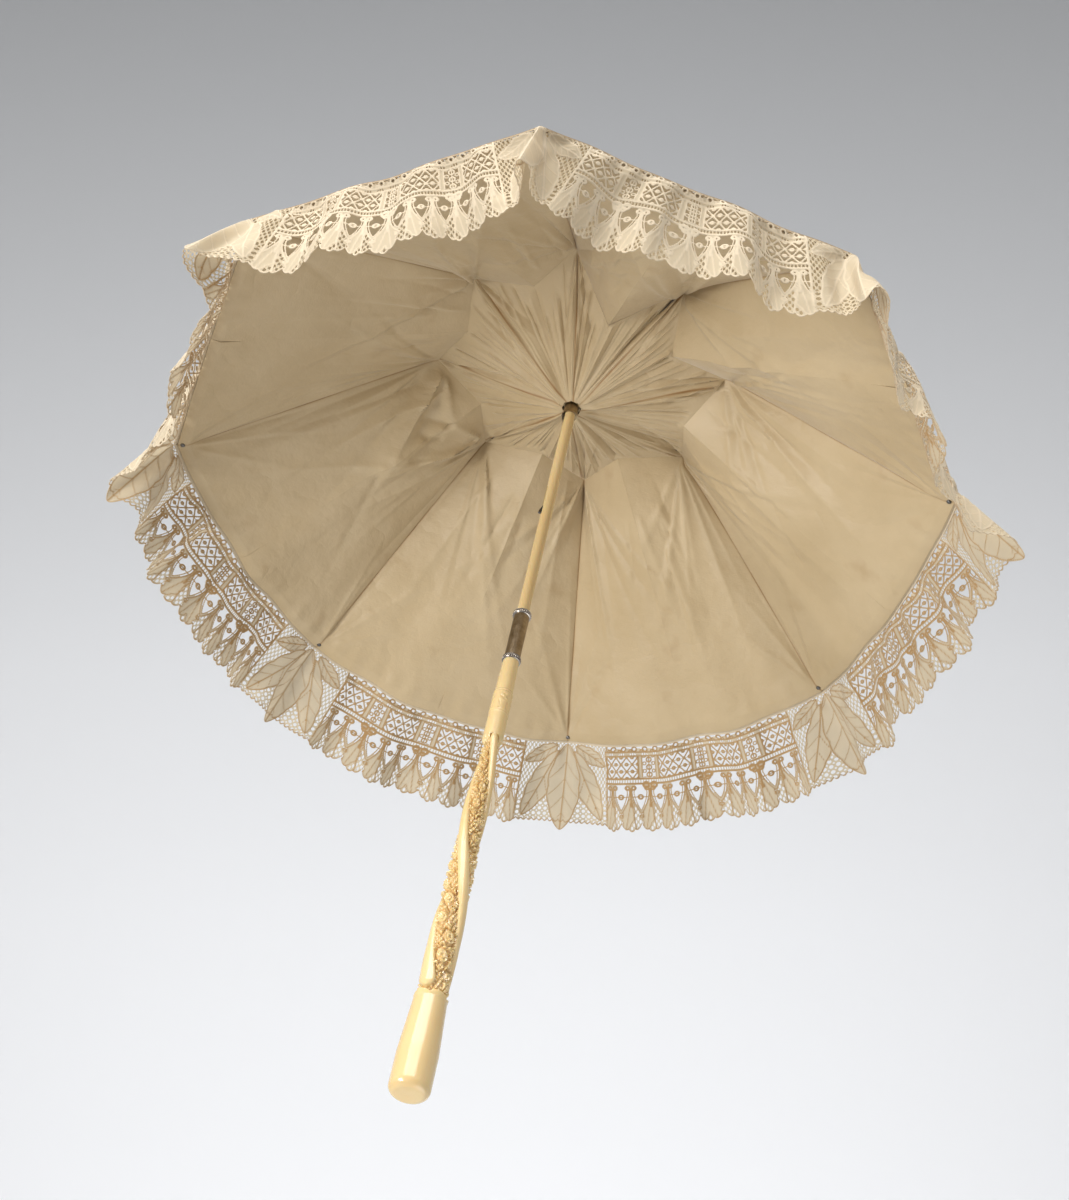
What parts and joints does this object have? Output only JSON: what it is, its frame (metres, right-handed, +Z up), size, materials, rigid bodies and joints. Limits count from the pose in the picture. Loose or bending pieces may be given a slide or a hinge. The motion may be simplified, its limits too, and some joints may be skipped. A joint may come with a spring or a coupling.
{
  "type": "parasol",
  "caption": "Open folding parasol with a carved ivory stick, ribbed frame on a sliding runner, lined silk canopy and a deep lace cover.",
  "frame": {"origin": "on the stick's axis at the middle of the true cylinder of the grip, 14 mm above the butt", "axes": "+Z up the stick towards the crown; +X through rib 0"},
  "size_m": [0.5182, 0.5285, 0.6478],
  "materials": {
    "ivory": "polished ivory, honey to cream",
    "silver": "tarnished silver, brighter on the rings",
    "brass": "aged brown brass",
    "steel": "dark blued steel",
    "silk": "tan silk taffeta with a soft sheen",
    "lace": "cream needle lace with openwork"
  },
  "bodies": {
    "handle": {"grip": "ivory", "carved_stem": "ivory", "neck": "ivory", "hinge_fork": "steel", "hinge_pin": "steel"},
    "shaft": {"hinge_tongue": "steel", "upper_shaft": "ivory", "crown_notch": "brass", "crown_wire": "brass", "crown_cap": "silver", "crown_rosette": "silk", "ferrule": "ivory"},
    "sleeve": {"sleeve_tube": "silver", "sleeve_rings": "silver"},
    "top_catch": {"top_spring": "steel"},
    "hand_catch": {"hand_spring": "steel"},
    "runner": {"runner": "brass", "runner_wire": "brass", "lining_star": "silk"},
    "rib_0": {"rib_0": "steel", "canopy_gore_0": "silk", "lace_gore_0": "lace"},
    "stretcher_0": {"stretcher_0": "steel"},
    "lace_fall_0": {"lace_fall_0": "lace"},
    "rib_1": {"rib_1": "steel", "canopy_gore_1": "silk", "lace_gore_1": "lace"},
    "stretcher_1": {"stretcher_1": "steel"},
    "lace_fall_1": {"lace_fall_1": "lace"},
    "rib_2": {"rib_2": "steel", "canopy_gore_2": "silk", "lace_gore_2": "lace"},
    "stretcher_2": {"stretcher_2": "steel"},
    "lace_fall_2": {"lace_fall_2": "lace"},
    "rib_3": {"rib_3": "steel", "canopy_gore_3": "silk", "lace_gore_3": "lace"},
    "stretcher_3": {"stretcher_3": "steel"},
    "lace_fall_3": {"lace_fall_3": "lace"},
    "rib_4": {"rib_4": "steel", "canopy_gore_4": "silk", "lace_gore_4": "lace"},
    "stretcher_4": {"stretcher_4": "steel"},
    "lace_fall_4": {"lace_fall_4": "lace"},
    "rib_5": {"rib_5": "steel", "canopy_gore_5": "silk", "lace_gore_5": "lace"},
    "stretcher_5": {"stretcher_5": "steel"},
    "lace_fall_5": {"lace_fall_5": "lace"},
    "rib_6": {"rib_6": "steel", "canopy_gore_6": "silk", "lace_gore_6": "lace"},
    "stretcher_6": {"stretcher_6": "steel"},
    "lace_fall_6": {"lace_fall_6": "lace"},
    "rib_7": {"rib_7": "steel", "canopy_gore_7": "silk", "lace_gore_7": "lace"},
    "stretcher_7": {"stretcher_7": "steel"},
    "lace_fall_7": {"lace_fall_7": "lace"}
  },
  "joints": [
    {"name": "stick_fold", "type": "hinge", "parent": "handle", "child": "shaft", "pos_m": [0, 0, 0.2805], "axis": [-0.3827, 0.9239, 0], "range_deg": [0, 90]},
    {"name": "sleeve_slide", "type": "slide", "parent": "shaft", "child": "sleeve", "axis": [0, 0, 1], "range_m": [0, 0.045]},
    {"name": "runner_slide", "type": "slide", "parent": "shaft", "child": "runner", "axis": [0, 0, -1], "range_m": [0, 0.11184], "deforming": ["lining_star", "top_spring", "hand_spring"]},
    {"name": "top_catch_press", "type": "slide", "parent": "shaft", "child": "top_catch", "axis": [-0.9239, -0.3827, 0], "range_m": [0, 0.0016], "stiffness_N_per_m": 600, "springref_m": -0.002},
    {"name": "hand_catch_press", "type": "slide", "parent": "shaft", "child": "hand_catch", "axis": [-0.9239, -0.3827, 0], "range_m": [0, 0.0016], "stiffness_N_per_m": 600, "springref_m": -0.002},
    {"name": "rib_turn_0", "type": "hinge", "parent": "shaft", "child": "rib_0", "pos_m": [0.0065, 0, 0.585], "axis": [0, 1, 0], "range_deg": [0, 54.6], "deforming": ["canopy_gore_0", "lace_gore_0"]},
    {"name": "stretcher_turn_0", "type": "hinge", "parent": "rib_0", "child": "stretcher_0", "pos_m": [0.095, 0, 0.55], "axis": [0, -1, 0], "range_deg": [0, 106.75]},
    {"name": "lace_turn_0", "type": "hinge", "parent": "rib_0", "child": "lace_fall_0", "pos_m": [0.24, 0, 0.443], "axis": [0, -1, 0], "range_deg": [0, 40.52], "deforming": ["lace_fall_0"]},
    {"name": "rib_turn_1", "type": "hinge", "parent": "shaft", "child": "rib_1", "pos_m": [0.0046, 0.0046, 0.585], "axis": [-0.7071, 0.7071, 0], "range_deg": [0, 54.6], "deforming": ["canopy_gore_1", "lace_gore_1"]},
    {"name": "stretcher_turn_1", "type": "hinge", "parent": "rib_1", "child": "stretcher_1", "pos_m": [0.06718, 0.06718, 0.55], "axis": [0.7071, -0.7071, 0], "range_deg": [0, 106.75]},
    {"name": "lace_turn_1", "type": "hinge", "parent": "rib_1", "child": "lace_fall_1", "pos_m": [0.16971, 0.16971, 0.443], "axis": [0.7071, -0.7071, 0], "range_deg": [0, 65.11], "deforming": ["lace_fall_1"]},
    {"name": "rib_turn_2", "type": "hinge", "parent": "shaft", "child": "rib_2", "pos_m": [0, 0.0065, 0.585], "axis": [-1, 0, 0], "range_deg": [0, 54.6], "deforming": ["canopy_gore_2", "lace_gore_2"]},
    {"name": "stretcher_turn_2", "type": "hinge", "parent": "rib_2", "child": "stretcher_2", "pos_m": [0, 0.095, 0.55], "axis": [1, 0, 0], "range_deg": [0, 106.75]},
    {"name": "lace_turn_2", "type": "hinge", "parent": "rib_2", "child": "lace_fall_2", "pos_m": [0, 0.24, 0.443], "axis": [1, 0, 0], "range_deg": [0, 72.08], "deforming": ["lace_fall_2"]},
    {"name": "rib_turn_3", "type": "hinge", "parent": "shaft", "child": "rib_3", "pos_m": [-0.0046, 0.0046, 0.585], "axis": [-0.7071, -0.7071, 0], "range_deg": [0, 54.6], "deforming": ["canopy_gore_3", "lace_gore_3"]},
    {"name": "stretcher_turn_3", "type": "hinge", "parent": "rib_3", "child": "stretcher_3", "pos_m": [-0.06718, 0.06718, 0.55], "axis": [0.7071, 0.7071, 0], "range_deg": [0, 106.75]},
    {"name": "lace_turn_3", "type": "hinge", "parent": "rib_3", "child": "lace_fall_3", "pos_m": [-0.16971, 0.16971, 0.443], "axis": [0.7071, 0.7071, 0], "range_deg": [0, 58.57], "deforming": ["lace_fall_3"]},
    {"name": "rib_turn_4", "type": "hinge", "parent": "shaft", "child": "rib_4", "pos_m": [-0.0065, 0, 0.585], "axis": [0, -1, 0], "range_deg": [0, 54.6], "deforming": ["canopy_gore_4", "lace_gore_4"]},
    {"name": "stretcher_turn_4", "type": "hinge", "parent": "rib_4", "child": "stretcher_4", "pos_m": [-0.095, 0, 0.55], "axis": [0, 1, 0], "range_deg": [0, 106.75]},
    {"name": "lace_turn_4", "type": "hinge", "parent": "rib_4", "child": "lace_fall_4", "pos_m": [-0.24, 0, 0.443], "axis": [0, 1, 0], "range_deg": [0, 31.8], "deforming": ["lace_fall_4"]},
    {"name": "rib_turn_5", "type": "hinge", "parent": "shaft", "child": "rib_5", "pos_m": [-0.0046, -0.0046, 0.585], "axis": [0.7071, -0.7071, 0], "range_deg": [0, 54.6], "deforming": ["canopy_gore_5", "lace_gore_5"]},
    {"name": "stretcher_turn_5", "type": "hinge", "parent": "rib_5", "child": "stretcher_5", "pos_m": [-0.06718, -0.06718, 0.55], "axis": [-0.7071, 0.7071, 0], "range_deg": [0, 106.75]},
    {"name": "lace_turn_5", "type": "hinge", "parent": "rib_5", "child": "lace_fall_5", "pos_m": [-0.16971, -0.16971, 0.443], "axis": [-0.7071, 0.7071, 0], "range_deg": [0, 13.4], "deforming": ["lace_fall_5"]},
    {"name": "rib_turn_6", "type": "hinge", "parent": "shaft", "child": "rib_6", "pos_m": [0, -0.0065, 0.585], "axis": [1, 0, 0], "range_deg": [0, 54.6], "deforming": ["canopy_gore_6", "lace_gore_6"]},
    {"name": "stretcher_turn_6", "type": "hinge", "parent": "rib_6", "child": "stretcher_6", "pos_m": [0, -0.095, 0.55], "axis": [-1, 0, 0], "range_deg": [0, 106.75]},
    {"name": "lace_turn_6", "type": "hinge", "parent": "rib_6", "child": "lace_fall_6", "pos_m": [0, -0.24, 0.443], "axis": [-1, 0, 0], "range_deg": [0, 9.14], "deforming": ["lace_fall_6"]},
    {"name": "rib_turn_7", "type": "hinge", "parent": "shaft", "child": "rib_7", "pos_m": [0.0046, -0.0046, 0.585], "axis": [0.7071, 0.7071, 0], "range_deg": [0, 54.6], "deforming": ["canopy_gore_7", "lace_gore_7"]},
    {"name": "stretcher_turn_7", "type": "hinge", "parent": "rib_7", "child": "stretcher_7", "pos_m": [0.06718, -0.06718, 0.55], "axis": [-0.7071, -0.7071, 0], "range_deg": [0, 106.75]},
    {"name": "lace_turn_7", "type": "hinge", "parent": "rib_7", "child": "lace_fall_7", "pos_m": [0.16971, -0.16971, 0.443], "axis": [-0.7071, -0.7071, 0], "range_deg": [0, 17.67], "deforming": ["lace_fall_7"]}
  ],
  "couplings": [
    {"joint": "sleeve_slide", "follows": "stick_fold", "m_per_rad": 0.028648},
    {"joint": "rib_turn_0", "follows": "runner_slide", "rad_per_m": 8.5214},
    {"joint": "stretcher_turn_0", "follows": "runner_slide", "rad_per_m": 16.659},
    {"joint": "lace_turn_0", "follows": "runner_slide", "rad_per_m": 6.3231},
    {"joint": "rib_turn_1", "follows": "runner_slide", "rad_per_m": 8.5214},
    {"joint": "stretcher_turn_1", "follows": "runner_slide", "rad_per_m": 16.659},
    {"joint": "lace_turn_1", "follows": "runner_slide", "rad_per_m": 10.16},
    {"joint": "rib_turn_2", "follows": "runner_slide", "rad_per_m": 8.5214},
    {"joint": "stretcher_turn_2", "follows": "runner_slide", "rad_per_m": 16.659},
    {"joint": "lace_turn_2", "follows": "runner_slide", "rad_per_m": 11.249},
    {"joint": "rib_turn_3", "follows": "runner_slide", "rad_per_m": 8.5214},
    {"joint": "stretcher_turn_3", "follows": "runner_slide", "rad_per_m": 16.659},
    {"joint": "lace_turn_3", "follows": "runner_slide", "rad_per_m": 9.1405},
    {"joint": "rib_turn_4", "follows": "runner_slide", "rad_per_m": 8.5214},
    {"joint": "stretcher_turn_4", "follows": "runner_slide", "rad_per_m": 16.659},
    {"joint": "lace_turn_4", "follows": "runner_slide", "rad_per_m": 4.9628},
    {"joint": "rib_turn_5", "follows": "runner_slide", "rad_per_m": 8.5214},
    {"joint": "stretcher_turn_5", "follows": "runner_slide", "rad_per_m": 16.659},
    {"joint": "lace_turn_5", "follows": "runner_slide", "rad_per_m": 2.0905},
    {"joint": "rib_turn_6", "follows": "runner_slide", "rad_per_m": 8.5214},
    {"joint": "stretcher_turn_6", "follows": "runner_slide", "rad_per_m": 16.659},
    {"joint": "lace_turn_6", "follows": "runner_slide", "rad_per_m": 1.4261},
    {"joint": "rib_turn_7", "follows": "runner_slide", "rad_per_m": 8.5214},
    {"joint": "stretcher_turn_7", "follows": "runner_slide", "rad_per_m": 16.659},
    {"joint": "lace_turn_7", "follows": "runner_slide", "rad_per_m": 2.757}
  ]
}
